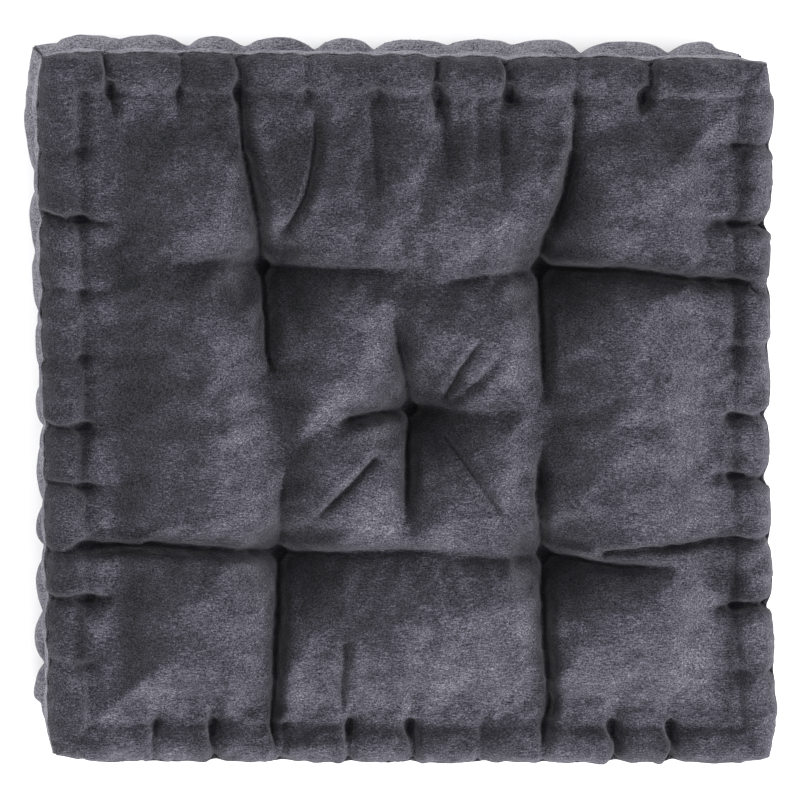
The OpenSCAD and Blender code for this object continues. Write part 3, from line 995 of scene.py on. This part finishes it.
def threadFinish(name, colour, scale):
    mat, tree, shader = nodesOf(name)
    coord = tree.nodes.new("ShaderNodeTexCoord").outputs["Object"]
    fibre = addNoise(tree, coord, scale, 3)
    ramp = tree.nodes.new("ShaderNodeValToRGB")
    ramp.color_ramp.elements[0].color = (*[c * 0.6 for c in colour], 1)
    ramp.color_ramp.elements[1].color = (*[min(c * 1.5, 1) for c in colour], 1)
    tree.links.new(fibre, ramp.inputs["Fac"])
    tree.links.new(ramp.outputs["Color"], shader.inputs["Base Color"])
    bump = tree.nodes.new("ShaderNodeBump")
    bump.inputs["Strength"].default_value = 0.5
    bump.inputs["Distance"].default_value = 0.0004
    tree.links.new(fibre, bump.inputs["Height"])
    tree.links.new(bump.outputs["Normal"], shader.inputs["Normal"])
    shader.inputs["Roughness"].default_value = 0.8
    shader.inputs["Specular IOR Level"].default_value = 0.15
    return mat


paintedLight = {
    "lightFall": 0.55, "onRoll": 0.30, "sweep": 0.04, "darkest": 0.45, "lightest": 0.17,
    "plain": 0.08,          # underneath, front and right
    "paintedSheen": 0.44,         # left and back, painted paler as painted sheen
}


def addPaintedLight(piece, paintedTone):
    # painted light: faces turned front and right are painted lighter and faces turned back and left
    # darker, as if lit from the front right, and the top grows lighter towards the front right; the other
    # panels take one fixed painted tone
    mesh = piece.data
    attribute = mesh.attributes.new("paintedLight", "FLOAT", "POINT")
    for v in mesh.vertices:
        n = v.normal
        lightFall = paintedLight["lightFall"] * (0.9 * n.x - 0.7 * n.y) + paintedLight["sweep"] * (v.co.x - v.co.y) / halfSide
        if max(abs(v.co.x), abs(v.co.y)) > grooveU - 0.010:
            lightFall *= paintedLight["onRoll"]
        lightFall = max(-paintedLight["darkest"], min(paintedLight["lightest"], lightFall))
        attribute.data[v.index].value = lightFall if paintedTone is None else paintedTone


# each panel: its place in the shell, the part it stands for, its flat size, and its painted light tone
# (None: painted by its facing)
panels = {
    "top_cloth": (0, "top_panel", (0.546, 0.546), None),
    "bottom_cloth": (1, "bottom_panel", (0.540, 0.540), paintedLight["plain"]),
}
for n, side in enumerate(sideNames):
    paintedTone = paintedLight["paintedSheen"] if side in ("back", "left") else paintedLight["plain"]
    panels["band_cloth_" + side] = (2 + n, "side_band_" + side, (0.520, 0.110), paintedTone)

shell = makeShell()
puffUp(shell)
shell = smoother(shell)
refine(shell)
creaseShell(shell)
surface = BVHTree.FromObject(shell, bpy.context.evaluated_depsgraph_get())
cloth = chenilleCloth()
thread = threadFinish("cotton thread", (0.020, 0.020, 0.024), 900)
twine = threadFinish("waxed twine", (0.003, 0.003, 0.0035), 700)
fibre = threadFinish("recycled grey fibre", (0.07, 0.07, 0.075), 160)

makeWadding(shell, fibre)
for name, (panel, node, flat, paintedTone) in panels.items():
    piece = splitPanel(shell, panel, name)
    addPaintedLight(piece, paintedTone)
    piece.data.materials.clear()
    piece.data.materials.append(cloth)
    declare(piece, "chenille", node)
    print("panel", name, len(piece.data.polygons), "faces")
for name, at in tufts.items():
    makeTie(name, at, surface, twine)
makeRollStitches(surface, thread)
makeSeams(shell, thread)
makeClosing(surface, thread)
bpy.data.objects.remove(shell)
print("threads and ties made")

studio = {
    "distance": 4.5, "tiltLeft": 9.5, "tiltBack": 10.0, "turn": 0.8, "frameWidth": 0.5527,
    "aim": (-0.0084, 0.0082, 0.105),
    "floorHalf": 14, "floorColour": (0.95, 0.95, 0.955), "daylight": 1.55,
}
# place, size and watts
lamps = {"key": ((1.4, -1.7, 1.7), 1.5, 105), "left": ((-2.2, 1.6, 0.8), 1.6, 60)}


def makeStudio():
    scene = bpy.context.scene
    bm = bmesh.new()
    bmesh.ops.create_grid(bm, x_segments=1, y_segments=1, size=studio["floorHalf"])
    mesh = bpy.data.meshes.new("floor")
    bm.to_mesh(mesh)
    bm.free()
    floor = bpy.data.objects.new("floor", mesh)
    scene.collection.objects.link(floor)
    mat, tree, shader = nodesOf("pale floor")
    shader.inputs["Base Color"].default_value = (*studio["floorColour"], 1)
    shader.inputs["Roughness"].default_value = 0.9
    mesh.materials.append(mat)
    world = bpy.data.worlds.new("studio")
    world.use_nodes = True
    sky = world.node_tree.nodes["Background"]
    sky.inputs["Color"].default_value = (1, 1, 1, 1)
    sky.inputs["Strength"].default_value = studio["daylight"]
    scene.world = world
    for name, (place, size, power) in lamps.items():
        light = bpy.data.lights.new(name, "AREA")
        light.energy, light.size = power, size
        lamp = bpy.data.objects.new(name, light)
        scene.collection.objects.link(lamp)
        lamp.location = place
        lamp.rotation_euler = (Vector((0, 0, 0.06)) - lamp.location).to_track_quat("-Z", "Y").to_euler()
        lamp.visible_camera = False
    camera = bpy.data.cameras.new("camera")
    eye = bpy.data.objects.new("camera", camera)
    scene.collection.objects.link(eye)
    aim = Vector(studio["aim"])
    left, back = math.radians(studio["tiltLeft"]), math.radians(studio["tiltBack"])
    away = Vector((-math.sin(left), math.sin(back), math.cos(left) * math.cos(back))).normalized()
    eye.location = aim + away * studio["distance"]
    right = Vector((1, 0, 0))
    right = (right - away * right.dot(away)).normalized()
    up = away.cross(right)
    turn = math.radians(studio["turn"])
    across = right * math.cos(turn) - up * math.sin(turn)
    up = up * math.cos(turn) + right * math.sin(turn)
    turned = Matrix((across, up, away)).transposed().to_4x4()
    eye.matrix_world = Matrix.Translation(eye.location) @ turned
    camera.sensor_width = 36
    camera.lens = camera.sensor_width * studio["distance"] / studio["frameWidth"]
    camera.clip_end = 60
    scene.camera = eye
    scene.view_settings.view_transform = "Standard"


makeStudio()
